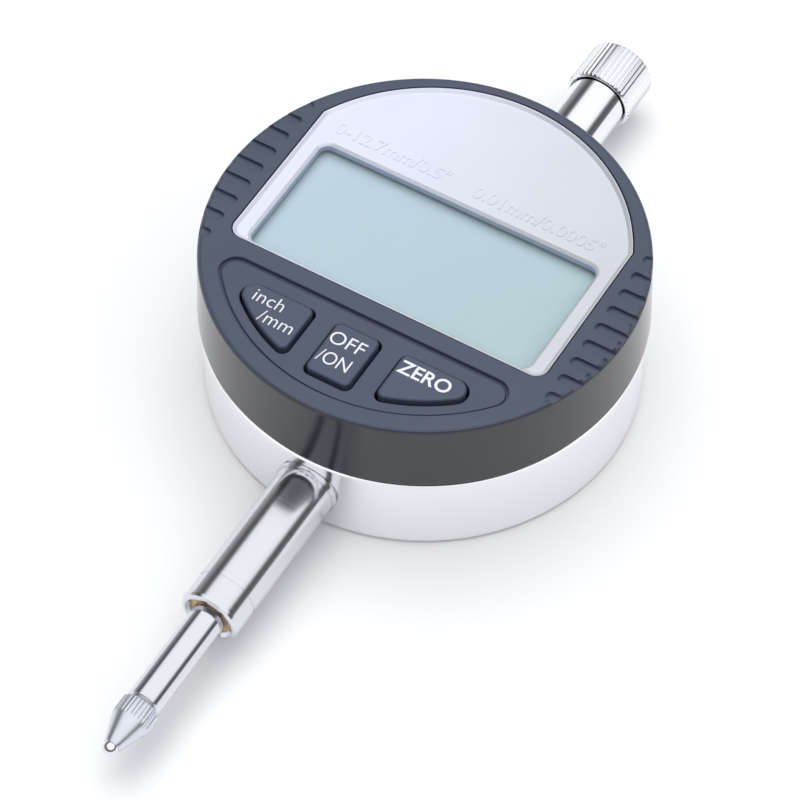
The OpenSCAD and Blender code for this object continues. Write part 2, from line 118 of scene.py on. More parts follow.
def spread(tree, value, low, high, start=0.3, stop=0.7):
    """Stretches the span from start to stop into low to high, and holds it there."""
    node = add(tree, "ShaderNodeMapRange", clamp=True)
    for key, number in zip(("From Min", "From Max", "To Min", "To Max"), (start, stop, low, high)):
        node.inputs[key].default_value = number
    tree.links.new(value, node.inputs["Value"])
    return node.outputs["Result"]


def tint(tree, value, one, two):
    """Mixes two colours by a value."""
    ramp = add(tree, "ShaderNodeValToRGB")
    ramp.color_ramp.elements[0].color = (*one, 1)
    ramp.color_ramp.elements[1].color = (*two, 1)
    tree.links.new(value, ramp.inputs["Fac"])
    return ramp.outputs["Color"]


def relief(tree, value, height, strength):
    """Turns a value into a small bump, its height in metres."""
    bump = add(tree, "ShaderNodeBump", Strength=strength, Distance=height)
    tree.links.new(value, bump.inputs["Height"])
    return bump.outputs["Normal"]


def mix_colours(tree, amount):
    """A colour mixer: A where the amount is 0, B where it is 1."""
    mixer = add(tree, "ShaderNodeMix", data_type="RGBA")
    tree.links.new(amount, mixer.inputs["Factor"])
    return mixer


def scaled(colour, amount):
    """A colour made lighter or darker, never past white."""
    return [min(1, channel * amount) for channel in colour]


def set_finish(node_name, mat):
    """Puts a finish on a part that stays as it is."""
    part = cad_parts[node_name]
    if not part.material_slots:
        part.data.materials.append(mat)
    for slot in part.material_slots:
        slot.material = mat


print("finish helpers ready")


# %% [markdown]
# ## A small kit for modelling
# Every new piece starts as a primitive and is shaped with the same operators as by hand. An
# operator works on whatever is selected, and the loaded parts are all selected, so we always
# clear the selection first. The helpers below draw an outline, raise it to a plug or spin it
# about a line, cut one piece with another, and ease the edges. A real edge is never sharp: the
# thin light line along it is what makes plastic and metal look solid. All lengths that the
# helpers take are in millimetres.

# %% Helpers that model
SMOOTH_ANGLE = math.radians(35)


def fresh():
    """Leaves edit mode and clears the selection."""
    if bpy.context.object and bpy.context.object.mode != "OBJECT":
        bpy.ops.object.mode_set(mode="OBJECT")
    bpy.ops.object.select_all(action="DESELECT")


def pick(piece):
    """Makes one piece the only selected and active one."""
    fresh()
    piece.select_set(True)
    bpy.context.view_layer.objects.active = piece


def settle(name):
    """Names the active piece and moves its place into its mesh."""
    piece = bpy.context.object
    piece.name = piece.data.name = name
    bpy.ops.object.transform_apply(location=True, rotation=True, scale=True)
    return piece


def break_edges(piece, wanted, width, segments):
    """Bevels only the edges for which wanted(edge) is true."""
    pick(piece)
    bpy.ops.object.mode_set(mode="EDIT")
    bpy.ops.mesh.select_mode(type="EDGE")
    bpy.ops.mesh.select_all(action="DESELECT")
    mesh = bmesh.from_edit_mesh(piece.data)
    for edge in mesh.edges:
        if wanted(edge):
            edge.select = True
    bmesh.update_edit_mesh(piece.data)
    bpy.ops.mesh.bevel(offset=width * MM, segments=segments, affect="EDGES", clamp_overlap=False)
    bpy.ops.object.mode_set(mode="OBJECT")


def cut(piece, tool, how="DIFFERENCE"):
    """Cuts a piece with a tool, joins them or keeps what they share; the tool is thrown away."""
    pick(piece)
    step = piece.modifiers.new("cut", "BOOLEAN")
    step.object, step.operation, step.solver = tool, how, "EXACT"
    bpy.ops.object.modifier_apply(modifier=step.name)
    bpy.data.objects.remove(tool)


def even_shading(piece):
    """Smooths the bevels and lets the large flat faces keep their own normals."""
    pick(piece)
    bpy.ops.object.shade_smooth_by_angle(angle=SMOOTH_ANGLE)
    step = piece.modifiers.new("even", "WEIGHTED_NORMAL")
    step.keep_sharp = True
    bpy.ops.object.modifier_apply(modifier=step.name)


def ease(piece, width, segments=3, angle=32):
    """Rounds every edge sharper than the angle and smooths the rest."""
    pick(piece)
    bpy.ops.object.mode_set(mode="EDIT")
    bpy.ops.mesh.select_all(action="SELECT")
    bpy.ops.mesh.remove_doubles(threshold=0.002 * MM)
    bpy.ops.object.mode_set(mode="OBJECT")
    step = piece.modifiers.new("ease", "BEVEL")
    step.width, step.segments = width * MM, segments
    step.limit_method, step.angle_limit = "ANGLE", math.radians(angle)
    step.use_clamp_overlap = False
    bpy.ops.object.modifier_apply(modifier=step.name)
    even_shading(piece)


def wire(name, places):
    """A closed loop of edges through the places, drawn by extruding one corner of a small plane."""
    fresh()
    bpy.ops.mesh.primitive_plane_add(size=MM)
    piece = settle(name)
    bpy.ops.object.mode_set(mode="EDIT")
    mesh = bmesh.from_edit_mesh(piece.data)
    bmesh.ops.delete(mesh, geom=list(mesh.verts)[1:], context="VERTS")
    mesh.verts.ensure_lookup_table()
    mesh.verts[0].co = places[0]
    mesh.verts[0].select = True
    bmesh.update_edit_mesh(piece.data)
    bpy.ops.mesh.select_mode(type="VERT")
    for a, b in zip(places, places[1:]):
        bpy.ops.mesh.extrude_vertices_move(TRANSFORM_OT_translate={"value": b - a})
    mesh = bmesh.from_edit_mesh(piece.data)
    mesh.verts.ensure_lookup_table()
    for v in mesh.verts:
        v.select = v in (mesh.verts[0], mesh.verts[-1])
    mesh.select_flush_mode()
    bmesh.update_edit_mesh(piece.data)
    bpy.ops.mesh.edge_face_add()
    bpy.ops.mesh.select_all(action="SELECT")
    return piece


def close_up(piece):
    """Turns all normals outward and leaves edit mode."""
    bpy.ops.mesh.select_all(action="SELECT")
    bpy.ops.mesh.normals_make_consistent(inside=False)
    bpy.ops.object.mode_set(mode="OBJECT")
    return piece


def spun(name, points, axis, steps):
    """Spins a closed outline about Z, or about the spindle's line. Points are (radius, along)."""
    along_y = axis == "Y"
    places = [Vector((r * MM, a * MM, AXIS_Z) if along_y else (r * MM, 0, a * MM)) for r, a in points]
    piece = wire(name, places)
    bpy.ops.mesh.spin(steps=steps, angle=math.tau, center=(0, 0, AXIS_Z) if along_y else (0, 0, 0),
                      axis=(0, 1, 0) if along_y else (0, 0, 1))
    bpy.ops.mesh.select_all(action="SELECT")
    bpy.ops.mesh.remove_doubles(threshold=0.001 * MM)
    close_up(piece)
    bpy.ops.object.shade_smooth_by_angle(angle=SMOOTH_ANGLE)
    return piece


def lay_face(name, points, height):
    """The flat foot of a plug, still selected in edit mode and ready to be raised."""
    piece = wire(name, [Vector((x * MM, y * MM, height * MM)) for x, y in points])
    bpy.ops.mesh.edge_face_add()
    return piece


def raise_by(height):
    """Extrudes the selected face straight up."""
    bpy.ops.mesh.extrude_region_move(TRANSFORM_OT_translate={"value": (0, 0, height * MM)})


def plug(name, points, low, high):
    """An upright plug whose plan is the closed outline of x, y points."""
    piece = lay_face(name, points, low)
    raise_by(high - low)
    return close_up(piece)


def stack(name, levels):
    """An upright plug that changes its plan on the way up; each level is (points, height)."""
    points, low = levels[0]
    piece = lay_face(name, points, low)
    for upper, high in levels[1:]:
        raise_by(high - low)
        mesh = bmesh.from_edit_mesh(piece.data)
        for v in [v for v in mesh.verts if v.select]:
            here = (v.co.x / MM, v.co.y / MM)
            near = min(range(len(points)), key=lambda i: math.dist(points[i], here))
            v.co.x, v.co.y = upper[near][0] * MM, upper[near][1] * MM
        bmesh.update_edit_mesh(piece.data)
        points, low = upper, high
    return close_up(piece)


def bow(x, y, radius, start, stop, n):
    """Points of an arc in an outline, angles in degrees."""
    turns = [math.radians(start + (stop - start) * i / n) for i in range(n + 1)]
    return [(x + radius * math.cos(turn), y + radius * math.sin(turn)) for turn in turns]


def dress(piece, mat, body, node=None):
    """Gives a new piece its finish and its body, and hides the part it stands for."""
    piece.data.materials.clear()
    piece.data.materials.append(mat)
    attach(piece, body)
    if node:
        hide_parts(node)
    print("%-20s %6d faces" % (piece.name, len(piece.data.polygons)))


print("modelling helpers ready")


# %% [markdown]
# ## The dark plastic of the head
# The head is a moulding in slate blue-grey: satin on top, where the mould was textured, and
# with a high polish on its wall. Plain grey would look like paint. We lay a very fine grain under the
# gloss, let the roughness wander a little, and drop it outside a given radius, where the colour
# is painted darker too, as painted shade on the wall. The radius is measured from the swivel axis, so the
# polish and the painted shade turn with the head.

# %% Slate plastic
def slate_plastic(name, base, rough, polish_and_shade_r=None):
    """Satin plastic; outside the given radius, in millimetres, it is smooth, and its colour is painted
    darker as painted shade on the wall.
    """
    mat, tree, shader = new_finish(name, base, rough, Specular_IOR_Level=0.5)
    where = place_of(tree)
    sheen = spread(tree, grain(tree, where, 140, 3), rough - 0.05, rough + 0.06)
    shade = tint(tree, grain(tree, where, 60, 2), scaled(base, 0.94), scaled(base, 1.06))
    if polish_and_shade_r:
        reach = add(tree, "ShaderNodeVectorMath", operation="LENGTH")
        tree.links.new(place_of(tree, (1, 1, 0)), reach.inputs[0])
        wall = spread(tree, reach.outputs["Value"], 0, 1, polish_and_shade_r * MM, (polish_and_shade_r + 0.3) * MM)
        smooth = add(tree, "ShaderNodeMapRange", clamp=True, To_Max=0.14)
        tree.links.new(wall, smooth.inputs["Value"])
        tree.links.new(sheen, smooth.inputs["To Min"])
        sheen = smooth.outputs["Result"]
        # Painted shade: outside the radius the colour turns darker, standing in for the shade on the
        # head's wall.
        dark = mix_colours(tree, wall)
        tree.links.new(shade, dark.inputs["A"])
        dark.inputs["B"].default_value = (0.025, 0.028, 0.036, 1)
        shade = dark.outputs["Result"]
    tree.links.new(sheen, shader.inputs["Roughness"])
    tree.links.new(shade, shader.inputs["Base Color"])
    fine = relief(tree, grain(tree, where, 5200, 2), 0.000008, 0.4)
    tree.links.new(fine, shader.inputs["Normal"])
    return mat


# Outside 28 mm the head's wall is smoother, and its colour is painted darker as painted shade.
HEAD_PLASTIC = slate_plastic("slate_plastic", (0.058, 0.072, 0.109), 0.38, polish_and_shade_r=28.0)
KEY_PLASTIC = slate_plastic("slate_key_plastic", (0.059, 0.075, 0.117), 0.36)
print("slate plastics ready")


# %% [markdown]
# ## The head shell
# On the real object this is one moulding: a drum with a rounded rim, a pocket for the fascia, a
# half-moon hollow for the keys and nine finger grooves on each side. It could be drawn as one
# patchwork of faces, but spinning the drum's outline and then cutting it with simple tools is
# how a toolmaker would think of it, and the cuts stay exact. The drum is hollow below: its skirt
# reaches down over the case, and a thinner step inside leaves room for the ring that holds it.

# %% Spin the drum of the head
TOP = HEAD_TOP / MM
GAP_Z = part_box("display_housing")[0][2] / MM
PLATE_Z = TOP - 1.8
CENTRE = 0.001
FOOT_ROUND, RIM_ROUND = 0.3, 0.75
FOOT_R, RIM_R = 28.35, 27.55
INNER_R, STEP_R, STEP_Z = 26.0, 24.98, 15.3
head_shell = spun("head_shell", (
    [(CENTRE, PLATE_Z), (INNER_R, PLATE_Z), (INNER_R, STEP_Z), (STEP_R, STEP_Z), (STEP_R, GAP_Z),
     (FOOT_R, GAP_Z)]
    + bow(FOOT_R, GAP_Z + FOOT_ROUND, FOOT_ROUND, -90, 0, 4)
    + bow(RIM_R, TOP - RIM_ROUND, RIM_ROUND, 0, 90, 10) + [(CENTRE, TOP)]), "Z", 160)
print("drum of the head:", len(head_shell.data.polygons), "faces")

# %% [markdown]
# The tools are shared: the fascia sits in the same pocket shape, only a hair smaller, and each key
# stands in the same hole shape. So each outline is a function with a clearance. A corner between
# a straight side and a big arc is a small arc that touches both, and Pythagoras gives its centre.

# %% Outlines of the pockets and the keys
WINDOW_X, WINDOW_Y, WINDOW_HALF = 20, -0.5, 9.15
KEY_Y = -15.2
HOLLOW_Y, HOLLOW_R, HOLLOW_ROUND = -12.9, 25.8, 2.2


def rounded_plan(x0, y0, x1, y1, r, n=8):
    """A rectangle with round corners."""
    return (bow(x1 - r, y1 - r, r, 0, 90, n) + bow(x0 + r, y1 - r, r, 90, 180, n)
            + bow(x0 + r, y0 + r, r, 180, 270, n) + bow(x1 - r, y0 + r, r, 270, 360, n))


def fascia_plan(clear):
    """Straight sides and foot, arched top."""
    x, y, r, q = 22.6 - clear, -10.5 + clear, 25.1 - clear, 1.9 - clear
    turn = math.degrees(math.acos(x / r))
    return (bow(-x + q, y + q, q, 180, 270, 8) + bow(x - q, y + q, q, 270, 360, 8)
            + bow(0, 1.7, r, turn, 180 - turn, 56))


def window_plan(grow):
    """The window, grown on all sides."""
    x, y = WINDOW_X + grow, WINDOW_HALF + grow
    return rounded_plan(-x, WINDOW_Y - y, x, WINDOW_Y + y, 1.3 + grow)


def bearing(x, y):
    """The direction of a point from the axis, in degrees."""
    return math.degrees(math.atan2(y, x))


def tip_arc(y, r, q):
    """The round corner between a level line and the arc r, from the line to the arc."""
    cx, cy = math.sqrt((r - q) ** 2 - (y - q) ** 2), y - q
    return bow(cx, cy, q, 90, bearing(cx, cy), 10)


def key_plan(which, clear):
    """A key's outline: -1 left, 0 middle, 1 right."""
    q = 1.0 - clear * 0.4
    if which == 0:
        return rounded_plan(-3.35 + clear, -23.9 + clear, 3.35 - clear, KEY_Y - clear, q)
    x, y, r = 6.1 + clear, KEY_Y - clear, 24.1 - clear
    tip = tip_arc(y, r, 1.9 - clear)
    hx, hy = x + q, -math.sqrt((r - q) ** 2 - (x + q) ** 2)
    heel = bearing(hx, hy)
    points = (bow(x + q, y - q, q, 180, 90, 8) + tip + bow(0, 0, r, bearing(*tip[-1]), heel, 16)[1:-1]
              + bow(hx, hy, q, heel, -180, 8))
    return [(which * px, py) for px, py in points]


def hollow_plan(clear):
    """The half-moon hollow round the keys."""
    tip = tip_arc(HOLLOW_Y - clear, HOLLOW_R - clear, HOLLOW_ROUND - clear)
    half = tip + bow(0, 0, HOLLOW_R - clear, bearing(*tip[-1]), -90, 28)[1:]
    return half + [(-x, y) for x, y in reversed(half[:-1])]


print("outlines ready; a side key has", len(key_plan(1, 0)), "corners")

# %% [markdown]
# Every tool stands well above the top, and those that go right through start below the plate: a
# tool that ends exactly on a face leaves the boolean to guess. A narrow channel runs round the
# hollow's edge and draws its outline as a dark line. Its tool is one plug cut out of another.

# %% Cut the head
OVER, UNDER = TOP + 3, PLATE_Z - 1
POCKET_Z = TOP - 1.3
HOLLOW_DEPTH, CHANNEL_DEPTH, CHANNEL_WIDTH = 0.4, 0.3, 0.35
cut(head_shell, plug("tool", fascia_plan(0), POCKET_Z, OVER))
cut(head_shell, plug("tool", window_plan(0.65), UNDER, OVER))
cut(head_shell, plug("tool", hollow_plan(0), TOP - HOLLOW_DEPTH, OVER))
channel = plug("channel", hollow_plan(0), TOP - HOLLOW_DEPTH - CHANNEL_DEPTH, TOP - 0.3)
cut(channel, plug("tool", hollow_plan(CHANNEL_WIDTH), TOP - 1, TOP))
cut(head_shell, channel)
for which in (-1, 0, 1):
    cut(head_shell, plug("tool", key_plan(which, 0), UNDER, OVER))
ease(head_shell, 0.14)
print("head with its pockets:", len(head_shell.data.polygons), "faces")

# %% [markdown]
# The finger grooves come last. They run out through the rounded rim, and a bevel that had to
# follow them there would trip over the short edges of the rounding. So the rest is eased first,
# the grooves are cut, and then only their flat upper edges are broken.

# %% Cut the finger grooves
GROOVES, GROOVE_PITCH, GROOVE_DEPTH = 9, 3.05, 0.5
GROOVE_X, GROOVE_R, PAST_RIM = 24.72, 0.725, 32
for i in range(GROOVES):
    y = 0.3 + (i - GROOVES // 2) * GROOVE_PITCH
    slot = bow(GROOVE_X, y, GROOVE_R, 90, 270, 10) + [(PAST_RIM, y - GROOVE_R), (PAST_RIM, y + GROOVE_R)]
    for side in (-1, 1):
        cut(head_shell, plug("tool", [(side * px, py) for px, py in slot], TOP - GROOVE_DEPTH, OVER))


def groove_lip(edge):
    """The level upper edge of a finger groove."""
    a, b = edge.verts
    level = min(a.co.z, b.co.z) > (TOP - 0.003) * MM
    outside = min(abs(a.co.x), abs(b.co.x)) > 23.9 * MM
    beside = abs(a.co.y) < 13.6 * MM
    return level and outside and beside and edge.is_manifold and edge.calc_face_angle() > 0.6


break_edges(head_shell, groove_lip, 0.05, 2)
even_shading(head_shell)
dress(head_shell, HEAD_PLASTIC, "display_head", "display_housing")


# %% [markdown]
# ## The fascia
# A thin silver tray sits in the pocket with a hair's gap round it. Its field lies a little lower
# than its rim, and the slant between the two is what you see as a grey line under the top edge.
# The window has a slant of its own, and a lip that runs down through the head and hides the
# plastic there. We build the plate and its tools as plugs that widen on the way up, so every
# slant is an exact face, and then cut one from the other.
#
# The lacquer comes first. It is silver with very fine flakes in it, and its colour carries painted light
# and shade:
# lighter and cooler on the left, darker and greyer on the right. Deep in the window the wall is painted a
# plain grey as painted shade: the finish looks at the height to know where it is.

# %% Silver lacquer
FACE_TOP = TOP - 0.1
FIELD = FACE_TOP - 0.4
SLANT = 0.4


def silver_lacquer():
    """Silver with fine flakes, painted lighter on the left and darker on the right, and painted grey
    shade on the wall of the window.
    """
    mat, tree, shader = new_finish("silver_lacquer", (0.70, 0.73, 0.85), 0.34, 0.35,
                                   Coat_Weight=0.25, Coat_Roughness=0.1)
    where = place_of(tree)
    flake = grain(tree, where, 9000, 1, 0.4)
    split = add(tree, "ShaderNodeSeparateXYZ")
    tree.links.new(where, split.inputs["Vector"])
    # Painted light and shade: the colour runs from lighter and bluer on the left to darker and greyer on
    # the right.
    field = mix_colours(tree, spread(tree, split.outputs["X"], 0, 1, -12 * MM, 22 * MM))
    tree.links.new(tint(tree, flake, (0.69, 0.72, 0.82), (0.77, 0.80, 0.90)), field.inputs["A"])
    tree.links.new(tint(tree, flake, (0.56, 0.575, 0.615), (0.63, 0.65, 0.68)), field.inputs["B"])
    # Painted shade: below the field the wall of the window turns a plain grey.
    start, stop = (FIELD - 0.45) * MM, (FIELD - 0.36) * MM
    height = mix_colours(tree, spread(tree, split.outputs["Z"], 0, 1, start, stop))
    height.inputs["A"].default_value = (0.42, 0.46, 0.57, 1)
    tree.links.new(field.outputs["Result"], height.inputs["B"])
    tree.links.new(height.outputs["Result"], shader.inputs["Base Color"])
    tree.links.new(spread(tree, grain(tree, where, 90, 3), 0.29, 0.40), shader.inputs["Roughness"])
    tree.links.new(relief(tree, flake, 0.000003, 0.3), shader.inputs["Normal"])
    return mat


SILVER = silver_lacquer()
print("lacquer ready; the field lies %.2f mm below the rim" % (FACE_TOP - FIELD))

# %% [markdown]
# Now the plate: the outer plug, the tray cut into it, the lip joined on below and the window cut
# through everything.

# %% Fascia plate
fascia_plate = plug("fascia_plate", fascia_plan(0.15), POCKET_Z, FACE_TOP)
tray_rim = fascia_plan(0.28)
cut(fascia_plate, stack("tool", [(fascia_plan(0.28 + SLANT), FIELD), (tray_rim, FACE_TOP),
                                 (tray_rim, FACE_TOP + 1)]))
cut(fascia_plate, plug("tool", window_plan(0.55), PLATE_Z + 0.05, TOP - 1.0), "UNION")
cut(fascia_plate, stack("tool", [(window_plan(0), UNDER), (window_plan(0), FIELD - SLANT),
                                 (window_plan(SLANT), FIELD), (window_plan(SLANT), FIELD + 2)]))
ease(fascia_plate, 0.04, 2, 25)
dress(fascia_plate, SILVER, "display_head", "fascia")


# %% [markdown]
# ## The keys
# Three hard keys stand a little proud of their hollow. Their top edges are well rounded, so each
# shows a light line towards the lamp and a black slot round its foot. Each key rides on its own
# body, because each one can be pressed by itself. The caps end a hair below the parts they stand
# for, which leaves room for the printed letters.

# %% Three keys
LETTER_RISE = 0.03
KEY_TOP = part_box("key_on_off")[1][2] / MM - LETTER_RISE
KEY_NAMES = {-1: "key_inch_mm", 0: "key_on_off", 1: "key_zero"}
for which, node in KEY_NAMES.items():
    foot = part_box(node)[0][2] / MM + 1.2
    cap = plug(node + "_cap", key_plan(which, 0.3), foot, KEY_TOP)
    break_edges(cap, lambda e: min(v.co.z for v in e.verts) > (KEY_TOP - 0.01) * MM, 0.38, 5)
    ease(cap, 0.03, 1, 60)
    dress(cap, KEY_PLASTIC, node, node)


# %% [markdown]
# ## The markings
# Key words and measuring range are plain workshop words, printed in white on the keys and raised
# very slightly on the fascia. Text is an object of its own in Blender: we set it, turn it into a
# mesh with a little depth, and only then apply its place.

# %% Words on the keys
def word(name, text, x, y, z, size, mat, body, wide=1.0, deep=LETTER_RISE, bold=0.02):
    """Flat text centred at x, y with its back on the level z; bold thickens the strokes."""
    fresh()
    bpy.ops.object.text_add(location=(x * MM, y * MM, z * MM))
    label = bpy.context.object
    label.data.body, label.data.size = text, size * MM
    label.data.align_x, label.data.align_y = "CENTER", "CENTER"
    label.data.offset = bold * MM
    label.data.extrude = deep / 2 * MM
    label.data.resolution_u = 4
    label.scale = (wide, 1, 1)
    label.location.z += deep / 2 * MM
    bpy.ops.object.convert(target="MESH")
    dress(settle(name), mat, body)


def printed_ink():
    """White ink, a little thin in places."""
    mat, tree, shader = new_finish("white_ink", (0.80, 0.82, 0.86), 0.42)
    cover = grain(tree, place_of(tree), 1500, 3)
    tree.links.new(tint(tree, cover, (0.66, 0.68, 0.72), (0.86, 0.88, 0.92)), shader.inputs["Base Color"])
    return mat


WHITE_INK = printed_ink()
for name, text, x, y, size, key, wide, bold in (
        ("legend_inch", "inch", -11.9, -17.3, 2.75, "key_inch_mm", 1, -0.02),
        ("legend_mm", "/mm", -9.4, -19.7, 2.75, "key_inch_mm", 1, -0.02),
        ("legend_off", "OFF", -0.3, -18.0, 2.85, "key_on_off", 1, -0.01),
        ("legend_on", "/ON", -0.3, -21.1, 2.8, "key_on_off", 0.87, -0.01),
        ("legend_zero", "ZERO", 10.45, -17.6, 2.78, "key_zero", 1, 0.045)):
    word(name, text, x, y, KEY_TOP, size, WHITE_INK, key, wide, bold=bold)

# %% [markdown]
# The range and the step stand on the fascia in its own silver, so only their edges show. Their
# backs go a hair into the field, because two faces on the same level would flicker.

# %% Measuring range on the fascia
for name, text, x, y in (("range_mm", '0-12.7mm/0.5"', -11.55, 11.5),
                         ("step_mm", '0.01mm/0.0005"', 9.7, 11.3)):
    word(name, text, x, y, FIELD - 0.01, 2.7, SILVER, "display_head", 1.04, 0.09, 0.03)


# %% [markdown]
# ## Bright metal
# Chrome and ground steel are the same shader with a different skin. Chrome is nearly a mirror
# with faint wiping marks. Ground steel carries rings left by the wheel, so its reflections are
# drawn out along the bar. A noise squeezed along one axis makes those rings.

# %% Metals
def chrome_plate(name, base, rough):
    """Nearly a mirror, with faint wiping marks and a very slight wave."""
    mat, tree, shader = new_finish(name, base, rough, 1.0)
    where = place_of(tree)
    wiped = spread(tree, grain(tree, where, 70, 4), rough * 0.7, rough * 1.5)
    tree.links.new(wiped, shader.inputs["Roughness"])
    shade = tint(tree, grain(tree, where, 25, 2), scaled(base, 0.96), base)
    tree.links.new(shade, shader.inputs["Base Color"])
    wave = relief(tree, grain(tree, where, 160, 2), 0.000012, 0.25)
    tree.links.new(wave, shader.inputs["Normal"])
    return mat


def lined_metal(name, base, rough, squeeze, shade, matt, height, strength):
    """Metal with fine lines: one noise, squeezed along an axis, drives gloss, colour and relief."""
    mat, tree, shader = new_finish(name, base, rough, 1.0)
    lines = grain(tree, place_of(tree, squeeze), 1, 3)
    tree.links.new(spread(tree, lines, rough * 0.75, rough * matt), shader.inputs["Roughness"])
    tree.links.new(tint(tree, lines, scaled(base, shade), base), shader.inputs["Base Color"])
    tree.links.new(relief(tree, lines, height, strength), shader.inputs["Normal"])
    return mat


def ground_steel(name, base, rough, squeeze=(120, 9000, 120)):
    """Rings round the spindle's line, or round another axis if the squeeze says so."""
    return lined_metal(name, base, rough, squeeze, 0.90, 1.4, 0.0000015, 0.2)


CHROME = chrome_plate("case_chrome_plate", (0.90, 0.905, 0.92), 0.07)
CAP_CHROME = chrome_plate("cap_chrome_plate", (0.90, 0.905, 0.93), 0.12)
STEM_STEEL = ground_steel("ground_stem_steel", (0.74, 0.745, 0.78), 0.13)
BARREL_STEEL = chrome_plate("barrel_polish", (0.86, 0.87, 0.90), 0.04)
SPINDLE_STEEL = ground_steel("ground_spindle_steel", (0.74, 0.745, 0.78), 0.11)
TURNED_STEEL = chrome_plate("turned_contact_steel", (0.68, 0.71, 0.77), 0.26)
BALL_STEEL = chrome_plate("ball_polish", (0.80, 0.80, 0.82), 0.04)
BRONZE = ground_steel("bush_bronze", (0.62, 0.46, 0.28), 0.32)
BRIGHT_PARTS = {"rear_case": CHROME, "stem": STEM_STEEL, "top_barrel": BARREL_STEEL,
                "spindle": SPINDLE_STEEL, "contact_ball": BALL_STEEL, "stem_bush": BRONZE,
                "barrel_bush": BRONZE}
for node, mat in BRIGHT_PARTS.items():
    set_finish(node, mat)
print("metals ready, on", len(BRIGHT_PARTS), "parts")


# %% [markdown]
# ## The dust cap and the contact point
# Both are turned bars with straight knurling. A knurl is a row of fine valleys, so we start from
# a cylinder with four corners to each ridge and pull every fourth corner in towards the axis.
# The turned outline, with its chamfers and its bore, is spun separately, and the shape both have
# in common is the finished part. Where the cone of the contact point runs into the valleys, this
# gives the same scalloped edge as turning it would.

# %% Knurled bar
CORNERS = 4


def knurled_bar(name, low, high, radius, ridges, depth):
    """A bar along the spindle's line with straight V valleys."""
    fresh()
    bpy.ops.mesh.primitive_cylinder_add(
        vertices=ridges * CORNERS, radius=radius * MM, depth=(high - low) * MM,
        location=(0, (low + high) / 2 * MM, AXIS_Z), rotation=(math.pi / 2, 0, 0))
    piece = settle(name)
    bpy.ops.object.mode_set(mode="EDIT")
    bpy.ops.mesh.select_mode(type="VERT")
    bpy.ops.mesh.select_all(action="DESELECT")
    mesh = bmesh.from_edit_mesh(piece.data)
    for v in mesh.verts:
        corner = math.atan2(v.co.z - AXIS_Z, v.co.x) / math.tau * ridges * CORNERS
        v.select = round(corner) % CORNERS == 0
    mesh.select_flush_mode()
    bmesh.update_edit_mesh(piece.data)
    shrink = (radius - depth) / radius
    bpy.ops.transform.resize(value=(shrink, 1, shrink), center_override=(0, 0, AXIS_Z))
    bpy.ops.object.mode_set(mode="OBJECT")
    return piece


print("knurling helper ready")

# %% [markdown]
# The cap's outline runs from the dished middle of its end, over the chamfers, down the outside
# and back up the bore, which is wide at the mouth and narrower where it grips the barrel.

# %% Dust cap
CAP_RIDGES, MOUTH_R, MOUTH_Y, BORE_R = 42, 4.25, 46.75, 3.56
cap_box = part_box("dust_cap")
CAP_LOW, CAP_HIGH = cap_box[0][1] / MM, cap_box[1][1] / MM
CAP_R = (cap_box[1][0] - cap_box[0][0]) / 2 / MM
BORE_END = CAP_HIGH - 1.4
dust_cap = knurled_bar("dust_cap_knurled", CAP_LOW - 1, CAP_HIGH + 1, CAP_R, CAP_RIDGES, 0.26)
cut(dust_cap, spun("tool", [
    (CENTRE, CAP_HIGH - 0.2), (2.7, CAP_HIGH - 0.2), (2.95, CAP_HIGH), (CAP_R - 0.95, CAP_HIGH),
    (CAP_R - 0.5, CAP_HIGH - 0.12), (CAP_R + 0.05, CAP_HIGH - 0.62), (CAP_R + 0.05, CAP_LOW + 0.42),
    (CAP_R - 0.42, CAP_LOW), (MOUTH_R, CAP_LOW), (MOUTH_R, MOUTH_Y), (BORE_R, MOUTH_Y),
    (BORE_R, BORE_END), (CENTRE, BORE_END)], "Y", CAP_RIDGES * 3), "INTERSECT")
ease(dust_cap, 0.05, 2, 24)
dress(dust_cap, CAP_CHROME, "dust_cap", "dust_cap")

# %% [markdown]
# The contact point is drawn as steps down from the shoulder against the spindle: the knurled
# collar, the cone, and the small flat that holds the ball.

# %% Contact point
POINT_RIDGES, BALL_R, SHOULDER = 26, 1, 6.7
POINT_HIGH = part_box("contact_ball")[0][1] / MM + BALL_R + SHOULDER
contact = knurled_bar("contact_point_turned", POINT_HIGH - 8, POINT_HIGH - 0.02, 2.5, POINT_RIDGES, 0.11)
steps_down = [(CENTRE, 0.04), (2.18, 0.04), (2.55, 0.4), (2.55, 2.35), (2.36, 2.9), (2.12, 3.5),
              (1.16, 6.25), (1.02, 6.45), (0.8, 6.45), (CENTRE, 6.45)]
cut(contact, spun("tool", [(radius, POINT_HIGH - down) for radius, down in steps_down], "Y",
                  POINT_RIDGES * 4), "INTERSECT")
ease(contact, 0.04, 2, 24)
dress(contact, TURNED_STEEL, "spindle_group", "contact_point")


# %% [markdown]
# ## The display
# The panel is switched off, so it shows only its own pale blue-green, a little deeper towards one
# corner. The clear window in front must not darken it, so it is a thin, nearly invisible film
# that only adds its gloss.

